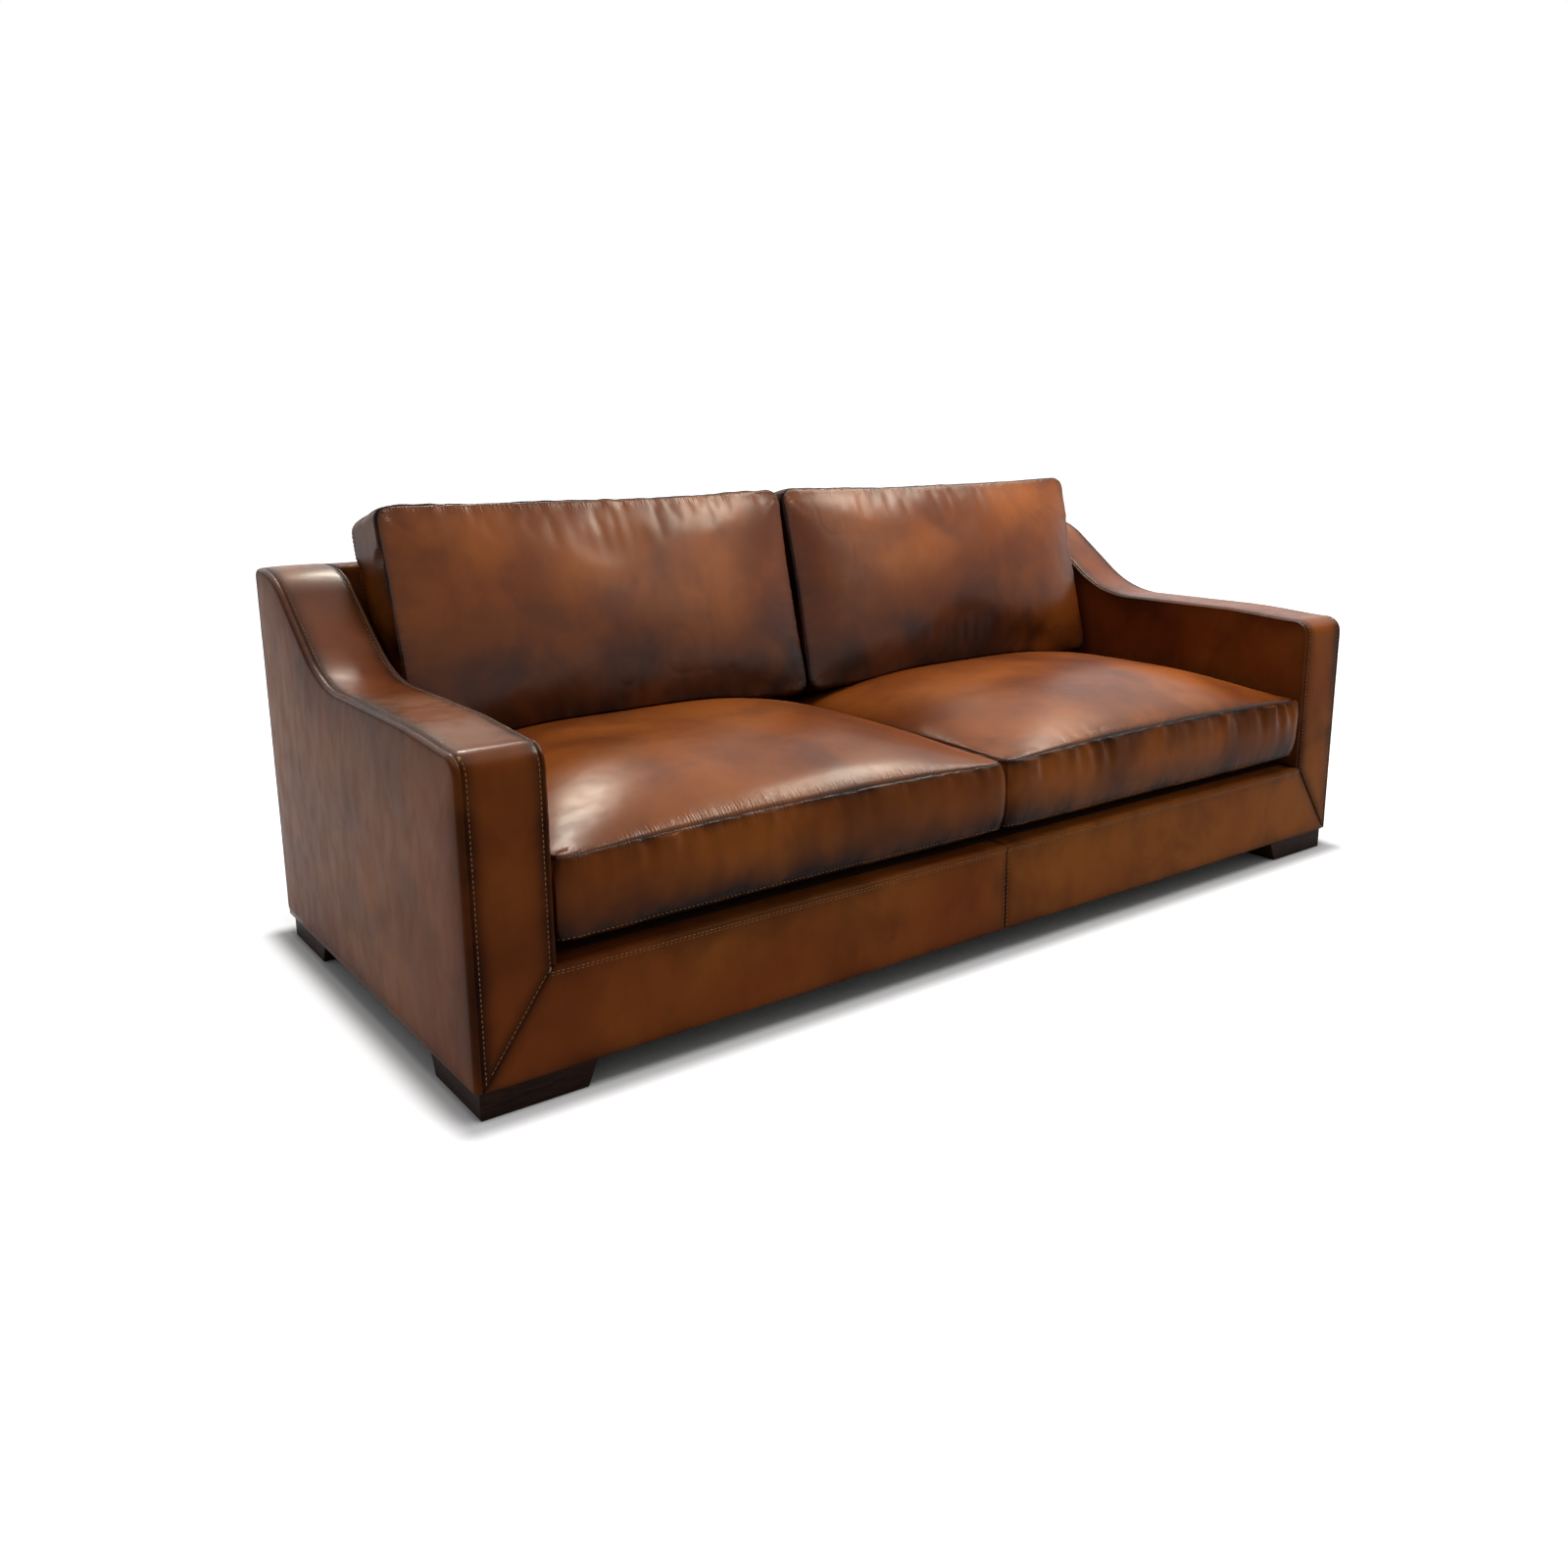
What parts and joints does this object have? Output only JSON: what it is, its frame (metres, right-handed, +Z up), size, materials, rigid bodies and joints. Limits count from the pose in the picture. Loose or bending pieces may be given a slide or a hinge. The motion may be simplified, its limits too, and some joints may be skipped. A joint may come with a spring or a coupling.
{
  "type": "sofa",
  "caption": "Wide leather sofa with swooping arms, loose crowned seat and back cushions and low tapered wooden block legs, for sitting.",
  "frame": {"origin": "on the floor under the middle of the sofa", "axes": "+X along the width to the viewer's right, the front faces -Y, +Z up"},
  "size_m": [2.24, 0.98, 0.895],
  "materials": {
    "cushion_leather": "satin",
    "cover_leather": "satin",
    "leg_wood": "satin",
    "frame_wood": "matte",
    "foam": "matte",
    "spring_steel": "satin",
    "zinc_steel": "satin",
    "elastic_strap": "matte",
    "deck_cloth": "matte",
    "dust_cloth": "matte"
  },
  "bodies": {
    "sofa_frame": {"back_bottom_rail": "frame_wood", "back_inner_panel": "cover_leather", "back_outer_panel": "cover_leather", "back_padding": "foam", "back_straps": "elastic_strap", "back_top_rail": "frame_wood", "back_uprights": "frame_wood", "base_cross_rails": "frame_wood", "base_front_rail": "frame_wood", "base_rear_rail": "frame_wood", "deck_cover": "deck_cloth", "deck_pad": "foam", "dust_cover": "dust_cloth", "front_left_leg": "leg_wood", "front_rail_padding": "foam", "front_right_leg": "leg_wood", "left_arm_base_plank": "frame_wood", "left_arm_boxing": "cover_leather", "left_arm_inner_board": "frame_wood", "left_arm_inner_panel": "cover_leather", "left_arm_outer_board": "frame_wood", "left_arm_outer_panel": "cover_leather", "left_arm_padding": "foam", "left_arm_posts": "frame_wood", "left_arm_top_slat": "frame_wood", "left_base_side_rail": "frame_wood", "left_front_rail_cover": "cover_leather", "leg_bolts": "zinc_steel", "leg_tee_nuts": "zinc_steel", "rear_left_leg": "leg_wood", "rear_right_leg": "leg_wood", "right_arm_base_plank": "frame_wood", "right_arm_boxing": "cover_leather", "right_arm_inner_board": "frame_wood", "right_arm_inner_panel": "cover_leather", "right_arm_outer_board": "frame_wood", "right_arm_outer_panel": "cover_leather", "right_arm_padding": "foam", "right_arm_posts": "frame_wood", "right_arm_top_slat": "frame_wood", "right_base_side_rail": "frame_wood", "right_front_rail_cover": "cover_leather", "seat_springs": "spring_steel", "spring_clips": "spring_steel"},
    "left_seat_cushion": {"left_seat_cushion_bottom_panel": "cushion_leather", "left_seat_cushion_boxing": "cushion_leather", "left_seat_cushion_core": "foam", "left_seat_cushion_top_panel": "cushion_leather"},
    "left_back_cushion": {"left_back_cushion_boxing": "cushion_leather", "left_back_cushion_core": "foam", "left_back_cushion_front_panel": "cushion_leather", "left_back_cushion_rear_panel": "cushion_leather"},
    "right_seat_cushion": {"right_seat_cushion_bottom_panel": "cushion_leather", "right_seat_cushion_boxing": "cushion_leather", "right_seat_cushion_core": "foam", "right_seat_cushion_top_panel": "cushion_leather"},
    "right_back_cushion": {"right_back_cushion_boxing": "cushion_leather", "right_back_cushion_core": "foam", "right_back_cushion_front_panel": "cushion_leather", "right_back_cushion_rear_panel": "cushion_leather"}
  },
  "joints": [
    {"name": "left_seat_cushion_pull", "type": "slide", "parent": "sofa_frame", "child": "left_seat_cushion", "axis": [0, -1, 0], "range_m": [0, 0.34]},
    {"name": "left_back_cushion_lift", "type": "slide", "parent": "sofa_frame", "child": "left_back_cushion", "axis": [0, 0, 1], "range_m": [0, 0.45]},
    {"name": "right_seat_cushion_pull", "type": "slide", "parent": "sofa_frame", "child": "right_seat_cushion", "axis": [0, -1, 0], "range_m": [0, 0.34]},
    {"name": "right_back_cushion_lift", "type": "slide", "parent": "sofa_frame", "child": "right_back_cushion", "axis": [0, 0, 1], "range_m": [0, 0.45]}
  ]
}
